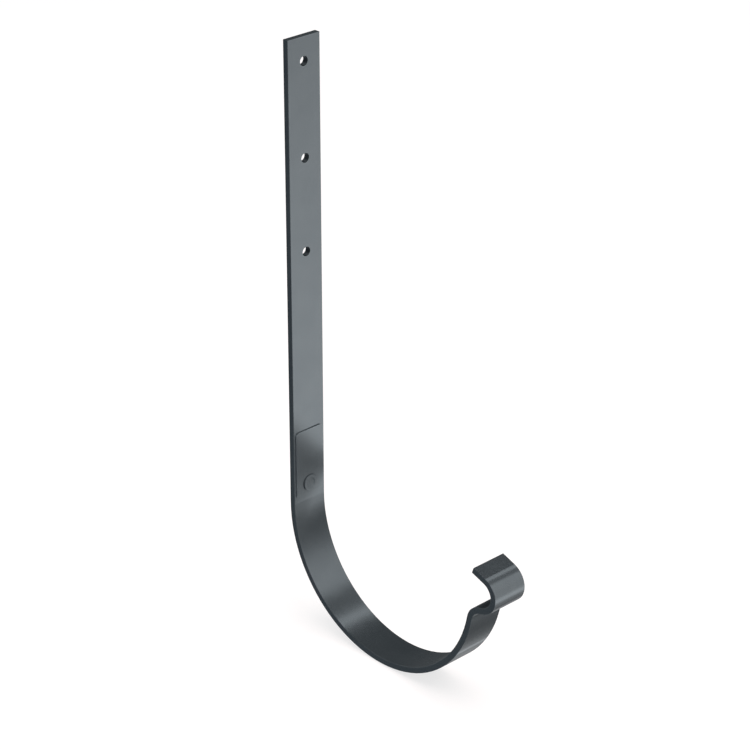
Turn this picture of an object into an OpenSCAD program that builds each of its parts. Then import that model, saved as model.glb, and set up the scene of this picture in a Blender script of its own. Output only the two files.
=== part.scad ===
// Bracket for a half-round gutter, bent from one flat bar, with a rear tongue
// riveted to its leg.
//
// The bar comes down the rafter, turns round under the gutter and ends in a
// hook that holds the bead along the gutter's front edge. The tongue is a thin
// strip that is folded down over the gutter's rear edge once the gutter is in.
//
// The origin is the centre of the fixing holes, on the face that lies against
// the rafter. +Z is up, +Y points into the rafter and the gutter lies on the
// -Y side. X = 0 is the middle of the bar's width.

/* [Flat bar] */
// Width of the bar
strap_w = 25; // [20:1:40]
// Thickness of the bar
strap_t = 4; // [3:0.5:6]
// Radius of the bar's rolled long edges
edge_r = 0.3; // [0.2:0.1:1]
// Length of the straight leg, from its top end to the start of the gutter arc
leg_l = 304; // [240:1:400]

/* [Fixing holes] */
// Number of holes, in a line up the leg
hole_n = 3; // [2:1:4]
// Diameter of a hole
hole_d = 6; // [4:0.5:10]
// Distance from one hole to the next
hole_pitch = 60; // [30:1:75]
// Distance from the leg's top end to the first hole
hole_end = 15; // [10:1:40]

/* [Gutter seat] */
// Outside diameter of the gutter that lies in the arc
gutter_d = 153; // [105:1:192]
// Angle that the arc turns through, from the leg to the front crest
seat_angle = 170; // [150:1:175]

/* [Front hook] */
// Inside radius of the crest, where the bar turns away from the gutter
crest_r = 8; // [4:0.5:12]
// Angle of the ledge below the bead, above the level
ledge_angle = 15; // [0:1:30]
// Length of the straight ledge between the crest and the hook
ledge_l = 3.5; // [1:0.5:10]
// Diameter of the gutter's bead that lies in the hook
bead_d = 18; // [14:1:24]
// Angle of the lip over the bead, rising from the hook to the lip's end
lip_angle = 19.5; // [5:0.5:35]
// Length of the straight lip past the hook
lip_l = 10; // [4:0.5:16]

/* [Rear tongue] */
// Thickness of the tongue's sheet
tongue_t = 0.8; // [0.6:0.1:2]
// Length of the tongue
tongue_l = 44.5; // [30:0.5:70]
// Margin from the tongue's sides to the bar's edges
tongue_margin = 1.5; // [1:0.5:3]
// Radius of the tongue's two top corners
tongue_corner_r = 2.5; // [1:0.5:6]
// Height of the tongue's lower end above the start of the gutter arc
tongue_up = 5; // [2:1:30]

/* [Rivet] */
// Diameter of the rivet's shank, which fills its hole
rivet_d = 6; // [4:0.5:7]
// Height of the rivet above the tongue's lower end
rivet_up = 7; // [6:0.5:15]
// Diameter of the low round head on the tongue
rivet_head_d = 11; // [9:0.5:14]
// Height of the head
rivet_head_h = 0.8; // [0.6:0.1:2]
// Radius round the head's rim
rivet_rim_r = 0.5; // [0.2:0.1:0.5]
// Diameter of the shallow pan that the setting punch leaves in the head
rivet_pan_d = 6; // [3:0.5:7]
// Depth of the pan
rivet_pan = 0.3; // [0.1:0.1:0.4]
// Diameter of the closing head, flush in the back of the bar
rivet_tail_d = 9; // [7.5:0.5:10]

/* [Hidden] */
$fn = 128;

// A cutter runs past the face that it opens by this much
cut_past = 1;

// How far bending draws the bar's section in on every face: in the wide bend
// of the seat, and in the tight bends of the hook
seat_draw = 0.01;
hook_draw = 0.02;

// Heights on the leg, with z = 0 at the centre of the fixing holes
holes_span = (hole_n - 1) * hole_pitch;
leg_top_z = holes_span / 2 + hole_end;
leg_foot_z = leg_top_z - leg_l;
tongue_z = leg_foot_z + tongue_up;
rivet_z = tongue_z + rivet_up;

// The back face lies at y = 0, and the tongue lies on the front face
leg_front_y = -strap_t;
tongue_w = strap_w - 2 * tongue_margin;

// Turns at the two bends of the hook, from the slopes on either side of them
seat_r = gutter_d / 2;
bead_r = bead_d / 2;
crest_angle = seat_angle - 90 - ledge_angle;
hook_angle = 180 - ledge_angle - lip_angle;

// The closing head is a 90 degree cone
rivet_tail_h = (rivet_tail_d - rivet_d) / 2;

paint = "#7a8084";

// Cross-section of the bar: thickness along x from 0, width along y, centred,
// and drawn in by inset on every face
module bar_section(inset = 0) {
    near = inset + edge_r;
    far = strap_t - inset - edge_r;
    side = strap_w / 2 - inset - edge_r;
    for (x = [near, far], y = [-side, side])
        translate([x, y]) circle(edge_r);
    translate([near, -side - edge_r]) square([far - near, 2 * (side + edge_r)]);
    translate([inset, -side]) square([strap_t - 2 * inset, 2 * side]);
}

// The next three modules are the steps of the bar's bending plan. Each starts
// at the origin, heads down z with the gutter side of the bar at y = 0 and its
// outer side at y = strap_t, and puts its children at the end of its own length.

// A straight length
module run(length) {
    translate([0, 0, -length]) linear_extrude(length) rotate(90) mirror([0, 1]) bar_section();
    translate([0, 0, -length]) children();
}

// A bend towards the gutter side, of inside radius r, with its section drawn in
module bend_in(r, turn, draw) {
    part_ring(r, -r, -turn, draw) children();
}

// A bend towards the outer side, of inside radius r, with its section drawn in
module bend_out(r, turn, draw) {
    part_ring(r, strap_t + r, turn, draw) children();
}

// The stretch of a ring of bar, round an axis at y = axis_y, from the plane
// z = 0 to where that plane comes when it turns about the axis
module part_ring(r, axis_y, turn, draw) {
    reach = 3 * (r + strap_t);
    intersection() {
        translate([0, axis_y, 0]) rotate([90, 0, 90])
            rotate_extrude() translate([r, 0]) bar_section(draw);
        translate([0, axis_y, -reach / 2]) cube(reach, center = true);
        turned(axis_y, turn) translate([0, axis_y, reach / 2]) cube(reach, center = true);
    }
    turned(axis_y, turn) children();
}

// Turns its children about the line parallel to x at y = axis_y
module turned(axis_y, turn) {
    translate([0, axis_y, 0]) rotate([turn, 0, 0]) translate([0, -axis_y, 0]) children();
}

// The whole bar: leg, gutter arc, crest, ledge, bead hook and lip
module bent_bar() {
    translate([0, leg_front_y, leg_top_z])
        run(leg_l)
        bend_in(seat_r, seat_angle, seat_draw)
        bend_out(crest_r, crest_angle, hook_draw)
        run(ledge_l)
        bend_in(bead_r, hook_angle, hook_draw)
        run(lip_l);
}

// Puts its children at height z, with their +z axis pointing out of the front
module facing_front(z, y) {
    translate([0, y, z]) rotate([90, 0, 0]) children();
}

module strap() {
    color(paint)
    difference() {
        bent_bar();
        for (i = [0 : hole_n - 1])
            facing_front(i * hole_pitch - holes_span / 2, cut_past)
                cylinder(h = strap_t + 2 * cut_past, d = hole_d);
        facing_front(rivet_z, cut_past)
            cylinder(h = strap_t + 2 * cut_past, d = rivet_d);
        facing_front(rivet_z, 0)
            cylinder(h = rivet_tail_h, d1 = rivet_tail_d, d2 = rivet_d);
    }
}

// Outline of the tongue: square at the foot, rounded at the top corners
module tongue_outline() {
    corner_x = tongue_w / 2 - tongue_corner_r;
    corner_y = tongue_l - tongue_corner_r;
    for (side = [-1, 1])
        translate([side * corner_x, corner_y]) circle(tongue_corner_r);
    translate([-tongue_w / 2, 0]) square([tongue_w, corner_y]);
    translate([-corner_x, 0]) square([2 * corner_x, tongue_l]);
}

module rear_tongue() {
    color(paint)
    facing_front(tongue_z, leg_front_y)
        linear_extrude(tongue_t)
            difference() {
                tongue_outline();
                translate([0, rivet_up]) circle(d = rivet_d);
            }
}

// Half section of the rivet, with its axis up y and the bar's back face at y = 0
module rivet_half_section() {
    seat_y = strap_t + tongue_t;
    polygon([[0, 0], [rivet_tail_d / 2, 0], [rivet_d / 2, rivet_tail_h], [0, rivet_tail_h]]);
    square([rivet_d / 2, seat_y]);
    translate([0, seat_y]) rivet_head_half_section();
}

// Half section of the head alone: flat, with a round rim and the punch's pan
module rivet_head_half_section() {
    head_r = rivet_head_d / 2;
    pan_r = rivet_pan_d / 2;
    difference() {
        union() {
            square([head_r, rivet_head_h - rivet_rim_r]);
            square([head_r - rivet_rim_r, rivet_head_h]);
            intersection() {
                translate([head_r - rivet_rim_r, rivet_head_h - rivet_rim_r]) circle(rivet_rim_r);
                square([head_r, rivet_head_h]);
            }
        }
        polygon([
            [0, rivet_head_h - rivet_pan],
            [pan_r - rivet_pan, rivet_head_h - rivet_pan],
            [pan_r + cut_past, rivet_head_h + cut_past],
            [0, rivet_head_h + cut_past],
        ]);
    }
}

module tongue_rivet() {
    color(paint)
    facing_front(rivet_z, 0)
        rotate_extrude() rivet_half_section();
}

strap();
rear_tongue();
tongue_rivet();
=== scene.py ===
"""Looks of the gutter bracket: paint, floor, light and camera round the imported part."""
import math

import bpy
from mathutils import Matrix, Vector


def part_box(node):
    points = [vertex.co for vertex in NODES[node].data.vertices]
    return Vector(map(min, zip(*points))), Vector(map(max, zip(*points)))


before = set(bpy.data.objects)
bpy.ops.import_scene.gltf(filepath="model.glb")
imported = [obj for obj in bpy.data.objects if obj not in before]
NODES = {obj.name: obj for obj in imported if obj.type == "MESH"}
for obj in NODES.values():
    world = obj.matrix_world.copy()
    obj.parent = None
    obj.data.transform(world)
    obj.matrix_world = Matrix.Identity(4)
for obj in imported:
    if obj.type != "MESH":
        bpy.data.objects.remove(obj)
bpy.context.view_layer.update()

# ---------------------------------------------------------------- places on the part, in metres

STRAP_LOW, STRAP_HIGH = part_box("strap")
TONGUE_LOW, TONGUE_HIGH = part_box("rear_tongue")
TONGUE_MID_Z = (TONGUE_LOW.z + TONGUE_HIGH.z) / 2
RIVET_LOW, RIVET_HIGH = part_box("tongue_rivet")
RIVET_MID_Z = (RIVET_LOW.z + RIVET_HIGH.z) / 2
RIVET_R = (RIVET_HIGH.x - RIVET_LOW.x) / 2

TONGUE_T = 0.0008
HOLE_R, HOLE_PITCH = 0.003, 0.06
RIVET_HEAD_H = 0.0008
PAN_R = 0.0029            # the rim of the pan in the rivet's head
TAIL_R = 0.0045           # the rivet's closing head, flush in the back
BEAD_MID, BEAD_R = (0, -0.1656, -0.2232), 0.009
SEAT_MID, SEAT_OUTER_R = (0, -0.0805, -0.229), 0.0805
BACK_Y = 0.0
FRONT_END_Y = -0.05       # the leg's front and the seat's start lie behind this
NEAR = 0.0001             # a point this close to a face is on it
INSET = 0.0002            # and one this far in is clear of it


# ---------------------------------------------------------------- node helpers

class Tree:
    """A node tree that is written as nested calls: each call makes one node or a few."""

    def __init__(self, tree):
        self.tree = tree
        tree.nodes.clear()

    def node(self, kind, inputs=None, **settings):
        made = self.tree.nodes.new(kind)
        for name, value in settings.items():
            setattr(made, name, value)
        for name, value in (inputs or {}).items():
            self.put(made.inputs[name], value)
        return made

    def put(self, socket, value):
        if isinstance(value, bpy.types.NodeSocket):
            self.tree.links.new(value, socket)
        else:
            socket.default_value = value

    def math(self, operation, *values, clamp=False):
        made = self.node("ShaderNodeMath", operation=operation, use_clamp=clamp)
        for i, value in enumerate(values):
            self.put(made.inputs[i], value)
        return made.outputs[0]

    def product(self, first, *others):
        """The values multiplied together: of masks, where all of them hold."""
        for value in others:
            first = self.math("MULTIPLY", first, value)
        return first

    def within(self, value, limit):
        """1 where value lies between -limit and limit."""
        return self.math("LESS_THAN", self.math("ABSOLUTE", value), limit)

    def along(self, value, start_and_change):
        """A measure that has its start at value 0 and changes evenly with it."""
        start, change = start_and_change
        return self.math("MULTIPLY_ADD", value, change, start)

    def between(self, value, low, high, out_low=0.0, out_high=1.0):
        """Eases value from out_low at low to out_high at high."""
        made = self.node("ShaderNodeMapRange", interpolation_type="SMOOTHSTEP")
        for name, number in (("Value", value), ("From Min", low), ("From Max", high),
                             ("To Min", out_low), ("To Max", out_high)):
            self.put(made.inputs[name], number)
        return made.outputs["Result"]

    def noise(self, vector, scale, detail, roughness=0.5):
        made = self.node("ShaderNodeTexNoise", {
            "Vector": vector, "Scale": scale, "Detail": detail, "Roughness": roughness})
        return made.outputs["Fac"]

    def split(self, vector):
        return self.node("ShaderNodeSeparateXYZ", {"Vector": vector}).outputs

    def reach(self, a, b):
        """How far (a, b) lies from (0, 0)."""
        return self.math("SQRT", self.math("ADD", self.product(a, a), self.product(b, b)))

    def polar(self, vector, middle):
        """The reach from an axis along X through middle, and the turn about it from +Y."""
        off = self.node("ShaderNodeVectorMath", {0: vector, 1: middle}, operation="SUBTRACT")
        _, y, z = self.split(off.outputs[0])
        return self.reach(y, z), self.math("ARCTAN2", z, y)

    def ring(self, reach, middle, width):
        """1 where reach is middle, falling to 0 at width on either side."""
        away = self.math("ABSOLUTE", self.math("SUBTRACT", reach, middle))
        return self.between(away, width, 0.0)

    def mix(self, factor, a, b):
        made = self.node("ShaderNodeMix", data_type="RGBA")
        self.put(made.inputs["Factor"], factor)
        self.put(made.inputs[6], a)
        self.put(made.inputs[7], b)
        return made.outputs[2]

    def bump(self, height, distance, strength, normal):
        made = self.node("ShaderNodeBump", {
            "Height": height, "Strength": strength, "Distance": distance, "Normal": normal})
        return made.outputs["Normal"]

    def background(self, colour, strength):
        return self.node("ShaderNodeBackground", {"Color": colour, "Strength": strength}).outputs[0]


def new_tree(owner):
    owner.use_nodes = True
    return Tree(owner.node_tree)


# ---------------------------------------------------------------- paint

PAINT = (0.197, 0.2155, 0.2275, 1)
PAINT_DARK = (0.177, 0.1947, 0.2068, 1)
# Below: a paler paint for flake, worn edges and a painted highlight on the rivet; a dark tone for
# painted shade and for the seam round the rivet's closing head; and a pale steel grey for painted
# light and a painted highlight.
PAINT_PALE_WEAR_AND_HIGHLIGHT = (0.27, 0.295, 0.31, 1)
SHADE_AND_SEAM_DARK = (0.07, 0.08, 0.09, 1)
PAINTED_LIGHT_GREY = (0.52, 0.56, 0.59, 1)
METALLIC = 0.82
ROUGHNESS = (0.225, 0.26)
COAT = {"IOR": 1.5, "Coat Weight": 0.15, "Coat Roughness": 0.16, "Coat IOR": 1.5}

FLAKE_SCALE, PEEL_SCALE, CLOUD_SCALE, BRUSH_SCALE = 5200.0, 850.0, 46.0, 1500.0
BRUSH_STRETCH = (1.0, 1.0, 0.06)  # the brush marks run up the leg
CLOUD = (0.3, 0.7)        # where the slow change of tone starts and ends in its noise
FLAKE, FLAKE_SHARE = (0.55, 0.75), 0.35
PEEL_BUMP, FLAKE_BUMP = (0.00012, 0.05), (0.00002, 0.02)  # depth in metres, and strength

EDGE_R = 0.0009           # how far in from an edge the coat thins
EDGE_TURN = (0.995, 0.80)  # the rounded normal against the face's own: coated, and worn
WORN_PATCHES = (0.35, 0.65, 0.55, 1.0)  # two places in the cloud noise, and the wear there
BRUSH_GLOSS, WORN_GLOSS, BORE_GLOSS = 0.05, -0.06, 0.2  # what each adds to the roughness

# How strongly each mark covers the paint. Apart from the seam round the rivet's closing head, these
# marks are painted light and painted shade.
LIT_SIDE_SHARE, BORE_SHADE_SHARE, HOOK_SHADE_SHARE, HIGHLIGHT_LINE_SHARE = 0.8, 0.8, 0.65, 0.9
RIM_HIGHLIGHT_SHARE, PAN_SHADE_SHARE, HEAD_SHADE_AND_SEAM_SHARE = 0.5, 0.2, 0.55

# Widths of the marks on the rivet, and how far the painted highlight lies inside the head's rim
HEAD_SHADE_W, RIM_HIGHLIGHT_W, PAN_W, SEAM_W = 0.0006, 0.0008, 0.0005, 0.0002
RIM_HIGHLIGHT_IN = 0.0012
RIVET_UPPER = (-0.002, 0.003)  # where the painted highlight and painted shade above the head start and are full, up and to -X
SIDE_FACING = (0.5, 0.9)  # how far to a side a face of the tongue looks: front, and side
HOLLOW = (1.3, 1.05)      # the painted shade's edge and its full depth, in radii of the bead
# The painted highlight line across the outside of the seat: its turn from the leg, and its width
LINE_TURN, LINE_WIDTH = math.radians(147.6), math.radians(2.7)

# The strip of the leg round the tongue leans back a little where the rivet was
# set, most at DISH_MID_Z, and the start of the seat shares some of that lean.
# The pairs are a measure at X = 0 and how it changes along X.
DISH_MID_Z = TONGUE_MID_Z - 0.002
DISH_SLANT = 0.47         # how much lower the lean's middle is towards +X
DISH_LEAN = (0.225, -3.0)
DISH_UP = (0.0325, -0.8)  # its reach above the middle
DISH_DOWN = (0.045, -2.6)
FRONT_FACING = -0.8       # a face that looks further forward than this is the front
SEAT_LEAN = 0.062
SEAT_LEAN_FROM = (-0.275, -0.25)
SEAT_LEAN_TO = (-0.225, -0.2)


def rivet_marks(t, x, y, z):
    """A painted highlight inside the head's rim and painted shade where the head meets the tongue,
    both on its upper side only, painted shade in the pan's rim, and a dark seam round the closing
    head.
    """
    off_z = t.math("SUBTRACT", z, RIVET_MID_Z)
    reach = t.reach(x, off_z)
    on_front = t.math("COMPARE", y, RIVET_LOW.y, RIVET_HEAD_H + NEAR)
    on_back = t.math("GREATER_THAN", y, BACK_Y - INSET)
    upper = t.between(t.math("SUBTRACT", off_z, x), *RIVET_UPPER)
    # painted shade where the head meets the tongue, on its upper side
    head_shade = t.product(t.ring(reach, RIVET_R, HEAD_SHADE_W), on_front, upper)
    # painted highlight inside the head's rim, on its upper side
    rim_highlight = t.product(t.ring(reach, RIVET_R - RIM_HIGHLIGHT_IN, RIM_HIGHLIGHT_W), on_front, upper)
    # painted shade in the pan's rim
    pan = t.product(t.ring(reach, PAN_R, PAN_W), on_front)
    # a dark seam round the closing head in the back
    seam = t.product(t.ring(reach, TAIL_R, SEAM_W), on_back)
    return (
        (rim_highlight, RIM_HIGHLIGHT_SHARE, PAINT_PALE_WEAR_AND_HIGHLIGHT),
        (pan, PAN_SHADE_SHARE, SHADE_AND_SEAM_DARK),
        (t.math("MAXIMUM", head_shade, seam), HEAD_SHADE_AND_SEAM_SHARE, SHADE_AND_SEAM_DARK),
    )


def lit_tongue_sides(t, x, y, z, facing_x):
    """The tongue's two slit sides, painted a pale steel grey as painted light, against the shade
    that falls between the tongue and the leg.
    """
    half_height, half_t = (TONGUE_HIGH.z - TONGUE_LOW.z) / 2, TONGUE_T / 2
    return t.product(
        t.between(t.math("ABSOLUTE", facing_x), *SIDE_FACING),
        t.math("COMPARE", y, TONGUE_LOW.y + half_t, half_t + NEAR / 2),
        t.math("COMPARE", z, TONGUE_MID_Z, half_height + NEAR),
        t.within(x, TONGUE_HIGH.x + NEAR))


def hole_walls(t, x, z):
    """The walls of the fixing holes, which lie at whole pitches from Z = 0."""
    pitches = t.math("ROUND", t.math("DIVIDE", z, HOLE_PITCH))
    from_hole = t.math("SUBTRACT", z, t.math("MULTIPLY", HOLE_PITCH, pitches))
    return t.product(t.math("LESS_THAN", t.reach(x, from_hole), HOLE_R + NEAR),
                     t.within(z, HOLE_PITCH + 2 * HOLE_R))


# Where painted shade fills the hollow inside the hook.
def inside_hook(t, place, x):
    reach, _ = t.polar(place, BEAD_MID)
    return t.product(t.between(reach, *(BEAD_R * radii for radii in HOLLOW)),
                     t.within(x, STRAP_HIGH.x - INSET))


# Where a narrow painted highlight crosses the seat's outer side.
def painted_highlight_line(t, place):
    reach, turn = t.polar(place, SEAT_MID)
    return t.product(t.ring(turn, -LINE_TURN, LINE_WIDTH),
                     t.math("GREATER_THAN", reach, SEAT_OUTER_R - INSET))


def leant_normal(t, normal, x, y, z, facing_y):
    """The normal, leant back on the leg's front round the tongue and on the seat's start."""
    front = t.product(t.math("LESS_THAN", facing_y, FRONT_FACING),
                      t.math("GREATER_THAN", y, FRONT_END_Y))
    off = t.math("SUBTRACT", t.math("MULTIPLY_ADD", x, DISH_SLANT, z), DISH_MID_Z)
    up = t.math("DIVIDE", off, t.along(x, DISH_UP))
    down = t.math("DIVIDE", t.math("MULTIPLY", off, -1.0), t.along(x, DISH_DOWN))
    share = t.math("MINIMUM", t.between(up, 1.0, 0.0), t.math("SUBTRACT", 1.0, down, clamp=True))
    dish = t.product(share, t.along(x, DISH_LEAN))
    seat = t.product(t.between(z, *SEAT_LEAN_FROM, 0.0, SEAT_LEAN),
                     t.between(z, *SEAT_LEAN_TO, 1.0, 0.0))
    lean = t.node("ShaderNodeCombineXYZ", {"Z": t.product(t.math("MAXIMUM", dish, seat), front)})
    leant = t.node("ShaderNodeVectorMath", {0: normal, 1: lean.outputs[0]}, operation="ADD")
    return t.node("ShaderNodeVectorMath", {0: leant.outputs[0]}, operation="NORMALIZE").outputs[0]


def paint_material():
    """Semi-gloss grey coat on steel: orange peel, fine flake, and thin worn edges."""
    material = bpy.data.materials.new("paint_grey")
    t = new_tree(material)
    place = t.node("ShaderNodeTexCoord").outputs["Object"]
    x, y, z = t.split(place)
    shape = t.node("ShaderNodeNewGeometry")
    facing_x, facing_y, _ = t.split(shape.outputs["True Normal"])

    flake = t.noise(place, FLAKE_SCALE, 1.0)
    peel = t.noise(place, PEEL_SCALE, 2.0, 0.45)
    cloud = t.noise(place, CLOUD_SCALE, 3.0, 0.55)
    lengthways = t.node("ShaderNodeMapping", {"Vector": place, "Scale": BRUSH_STRETCH})
    brushed = t.noise(lengthways.outputs[0], BRUSH_SCALE, 3.0, 0.6)

    # An edge is where the rounded normal leaves the face's own
    rounded = t.node("ShaderNodeBevel", {"Radius": EDGE_R}, samples=6)
    turn = t.node("ShaderNodeVectorMath", {0: rounded.outputs[0], 1: shape.outputs["Normal"]},
                  operation="DOT_PRODUCT")
    edge = t.between(turn.outputs["Value"], *EDGE_TURN)
    worn = t.product(edge, t.between(cloud, *WORN_PATCHES))

    colour = t.mix(t.between(cloud, *CLOUD), PAINT_DARK, PAINT)
    colour = t.mix(t.product(t.between(flake, *FLAKE), FLAKE_SHARE), colour, PAINT_PALE_WEAR_AND_HIGHLIGHT)
    colour = t.mix(worn, colour, PAINT_PALE_WEAR_AND_HIGHLIGHT)
    # The holes' walls get painted shade in the colour and a duller gloss.
    bore = hole_walls(t, x, z)
    marks = (
        # painted light on the tongue's slit sides
        (lit_tongue_sides(t, x, y, z, facing_x), LIT_SIDE_SHARE, PAINTED_LIGHT_GREY),
        # painted shade on the walls of the fixing holes
        (bore, BORE_SHADE_SHARE, SHADE_AND_SEAM_DARK),
        # painted shade in the hollow inside the hook
        (inside_hook(t, place, x), HOOK_SHADE_SHARE, SHADE_AND_SEAM_DARK),
        # a painted highlight line across the seat's outer side
        (painted_highlight_line(t, place), HIGHLIGHT_LINE_SHARE, PAINTED_LIGHT_GREY),
        # the rivet's painted highlight and painted shade, and the seam round its closing head
        *rivet_marks(t, x, y, z),
    )
    for mask, share, tint in marks:
        colour = t.mix(t.product(mask, share), colour, tint)

    # Brushing shows in the gloss, worn edges are smoother, and the holes are dull
    gloss = t.math("ADD", t.between(cloud, *CLOUD, *ROUGHNESS),
                   t.product(t.math("SUBTRACT", brushed, 0.5), BRUSH_GLOSS))
    gloss = t.math("MULTIPLY_ADD", worn, WORN_GLOSS, gloss)
    gloss = t.math("MULTIPLY_ADD", bore, BORE_GLOSS, gloss)

    base = leant_normal(t, shape.outputs["Normal"], x, y, z, facing_y)
    skin = t.bump(peel, *PEEL_BUMP, base)
    skin = t.bump(flake, *FLAKE_BUMP, skin)
    shader = t.node("ShaderNodeBsdfPrincipled", {
        "Base Color": colour, "Roughness": gloss, "Metallic": METALLIC, "Normal": skin, **COAT})
    t.node("ShaderNodeOutputMaterial", {"Surface": shader.outputs[0]})
    return material


def paint_frame():
    paint = paint_material()
    for piece in NODES.values():
        for slot in piece.material_slots:
            slot.material = paint


# ---------------------------------------------------------------- stage

# What the gloss sees all round the X axis: the angle up from the front, in
# degrees, and how bright the studio is there. Soft strips hang over the front,
# and the floor is bright before the bracket.
STUDIO = (
    (-180, 0.06), (-160, 0.06), (-146, 0.17), (-130, 0.38), (-112, 0.42), (-101, 0.58),
    (-93, 0.24), (-78, 0.16), (-66, 0.20), (-54, 0.80), (-44, 1.43), (-39, 1.37), (-34, 1.17),
    (-27, 1.11), (-18, 0.33), (-8, 0.12), (4, 0.13), (12, 0.30), (22, 0.68), (36, 0.74),
    (50, 0.86), (55, 0.62), (60, 0.17), (71, 0.14), (79.2, 0.20), (83.2, 1.16), (88.8, 1.40),
    (90.8, 0.28), (94, 0.04), (114, 0.01), (150, 0.01), (168, 0.03), (180, 0.06))
CURVE_TOP = 2.0           # the level that the curve's 1 stands for

STRIP_COLOUR = (0.97, 0.99, 1, 1)
FILL_COLOUR = (0.5, 0.78, 1.0, 1)
FILL_LEVEL, FILL_LEFT = 0.015, 0.08
LEFT_SHADE = 0.78         # how much darker the studio is below and to the left
BEHIND_LEVEL = 0.45
# Where each part of the studio starts and is full, along an axis of the view
BELOW_Z, LEFT_X = (0.0, -0.25), (0.25, -0.25)
BEHIND_Y, BEHIND_X = (0.25, 0.6), (0.5, 0.3)
SOFT_COLOUR, SOFT_LEVEL = (0.86, 0.97, 1.04, 1), 0.55
WHITE = (1, 1, 1, 1)

FLOOR_SIZE, FLOOR_GAP = 30, 0.0004
FLOOR_MATT = (0.395, 0.34, 0.325, 1)  # warm, so that the cool soft light leaves it white
FLOOR_GLOW = 0.72

# Pale cards that only the gloss sees: place, lean about Y, size and level. One
# stands to the right of the hook, and one lies below its nose.
CARDS = {
    "side_card": ((0.15, -0.38, -0.2), math.pi / 2, (0.18, 0.16, 1), 0.80),
    "low_card": ((0.05, -0.2, -0.28), 0.0, (0.12, 0.026, 1), 0.46),
}

LAMP_PLACE, LAMP_TARGET = (0.15, -0.5, 1.8), (0, -0.08, -0.2)
LAMP_SIZE, LAMP_POWER = 2.4, 35


def studio_level(t, turn):
    """How bright the studio is at a turn about X, read from STUDIO."""
    share = t.math("ADD", t.math("DIVIDE", turn, 2 * math.pi), 0.5)
    ramp = t.node("ShaderNodeFloatCurve", {"Value": share})
    spots = [(angle / 360 + 0.5, level / CURVE_TOP) for angle, level in STUDIO]
    curve = ramp.mapping.curves[0]
    for point, spot in zip(curve.points, (spots[0], spots[-1])):
        point.location = spot
    for spot in spots[1:-1]:
        curve.points.new(*spot)
    for point in curve.points:
        point.handle_type = "VECTOR"
    ramp.mapping.update()
    return t.product(ramp.outputs[0], CURVE_TOP)


def build_world():
    """The studio for the gloss, even soft light for the rest, and white for the camera."""
    world = bpy.data.worlds.new("studio")
    bpy.context.scene.world = world
    t = new_tree(world)
    rays = t.node("ShaderNodeLightPath").outputs
    x, y, z = t.split(t.node("ShaderNodeTexCoord").outputs["Generated"])
    level = studio_level(t, t.math("ARCTAN2", z, t.math("MULTIPLY", y, -1.0)))
    # A soft light straight behind, for the back of the leg
    behind = t.product(t.between(y, *BEHIND_Y), t.between(t.math("ABSOLUTE", x), *BEHIND_X))
    level = t.math("MULTIPLY_ADD", behind, BEHIND_LEVEL, level)
    # Below, only the right of the studio is lit, and the left has a faint blue fill
    low_left = t.product(t.between(z, *BELOW_Z), t.between(x, *LEFT_X))
    shade = t.math("SUBTRACT", 1.0, t.product(low_left, LEFT_SHADE))
    strips = t.background(STRIP_COLOUR, t.product(level, shade))
    fill = t.background(FILL_COLOUR, t.between(low_left, 0.0, 1.0, FILL_LEVEL, FILL_LEFT))
    seen = t.node("ShaderNodeAddShader", {0: strips, 1: fill}).outputs[0]
    soft = t.background(SOFT_COLOUR, SOFT_LEVEL)
    plain = t.background(WHITE, 1.0)
    lit = t.node("ShaderNodeMixShader", {0: rays["Is Glossy Ray"], 1: soft, 2: seen}).outputs[0]
    out = t.node("ShaderNodeMixShader", {0: rays["Is Camera Ray"], 1: lit, 2: plain}).outputs[0]
    t.node("ShaderNodeOutputWorld", {"Surface": out})


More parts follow.
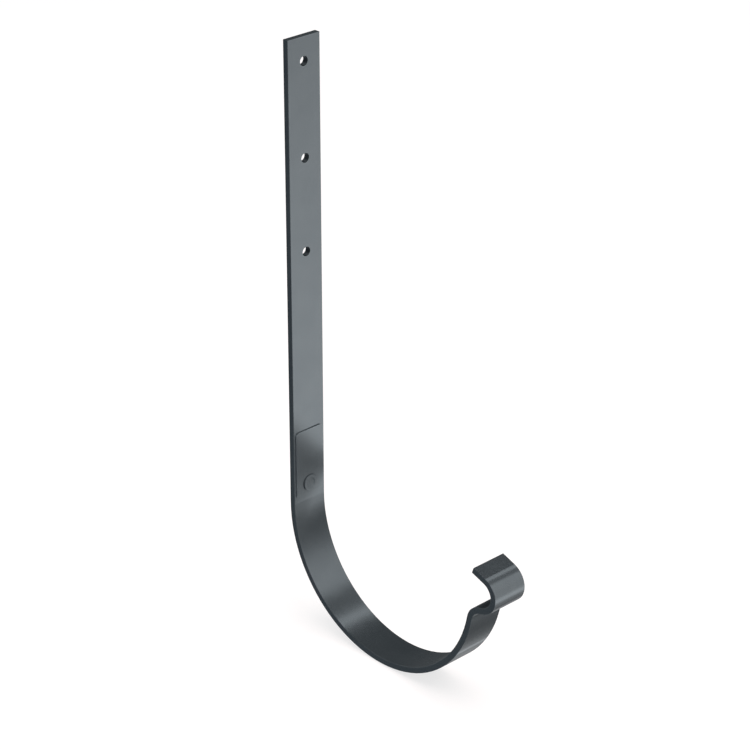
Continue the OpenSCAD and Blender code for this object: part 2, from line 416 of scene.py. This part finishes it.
def build_floor():
    place = (0, 0, STRAP_LOW.z - FLOOR_GAP)
    bpy.ops.mesh.primitive_plane_add(size=FLOOR_SIZE, location=place)
    floor = bpy.context.object
    floor.name = "floor"
    floor.visible_glossy = False
    material = bpy.data.materials.new("floor_white")
    t = new_tree(material)
    rays = t.node("ShaderNodeLightPath").outputs
    seen = t.math("MAXIMUM", rays["Is Camera Ray"], t.math(
        "MAXIMUM", rays["Is Glossy Ray"], rays["Is Transmission Ray"]))
    matt = t.node("ShaderNodeBsdfDiffuse", {"Color": FLOOR_MATT})
    glow = t.node("ShaderNodeEmission", {"Color": WHITE, "Strength": t.product(seen, FLOOR_GLOW)})
    both = t.node("ShaderNodeAddShader", {0: matt.outputs[0], 1: glow.outputs[0]})
    t.node("ShaderNodeOutputMaterial", {"Surface": both.outputs[0]})
    floor.data.materials.append(material)


def build_card(name, place, lean, size, level):
    bpy.ops.mesh.primitive_plane_add(size=1, location=place, rotation=(0, lean, 0))
    card = bpy.context.object
    card.name = name
    card.scale = size
    material = bpy.data.materials.new(name + "_white")
    t = new_tree(material)
    glow = t.node("ShaderNodeEmission", {"Color": STRIP_COLOUR, "Strength": level})
    t.node("ShaderNodeOutputMaterial", {"Surface": glow.outputs[0]})
    card.data.materials.append(material)
    for ray in ("camera", "diffuse", "shadow", "transmission", "volume_scatter"):
        setattr(card, "visible_" + ray, False)


def hold(name, data, place, way):
    """An object for a lamp's or camera's data, at place and looking along way."""
    holder = bpy.data.objects.new(name, data)
    bpy.context.scene.collection.objects.link(holder)
    holder.location = place
    holder.rotation_euler = way.to_track_quat("-Z", "Y").to_euler()
    return holder


def build_lamp():
    lamp = bpy.data.lights.new("overhead", "AREA")
    lamp.shape, lamp.size, lamp.energy = "SQUARE", LAMP_SIZE, LAMP_POWER
    holder = hold("overhead", lamp, LAMP_PLACE, Vector(LAMP_TARGET) - Vector(LAMP_PLACE))
    holder.visible_glossy = False


# ---------------------------------------------------------------- camera

CAMERA_PLACE = (-0.9285, -1.0456, 0.5449)
CAMERA_WAY = (0.61633, 0.65166, -0.44212)
CAMERA_LENS, CAMERA_SENSOR = 121.56, 36
CAMERA_CLIP = (0.05, 100)


def build_camera():
    camera = bpy.data.cameras.new("camera")
    camera.lens, camera.sensor_width = CAMERA_LENS, CAMERA_SENSOR
    camera.clip_start, camera.clip_end = CAMERA_CLIP
    bpy.context.scene.camera = hold("camera", camera, CAMERA_PLACE, Vector(CAMERA_WAY))


paint_frame()
build_world()
build_floor()
for name, card in CARDS.items():
    build_card(name, *card)
build_lamp()
build_camera()
bpy.context.scene.view_settings.view_transform = "Standard"
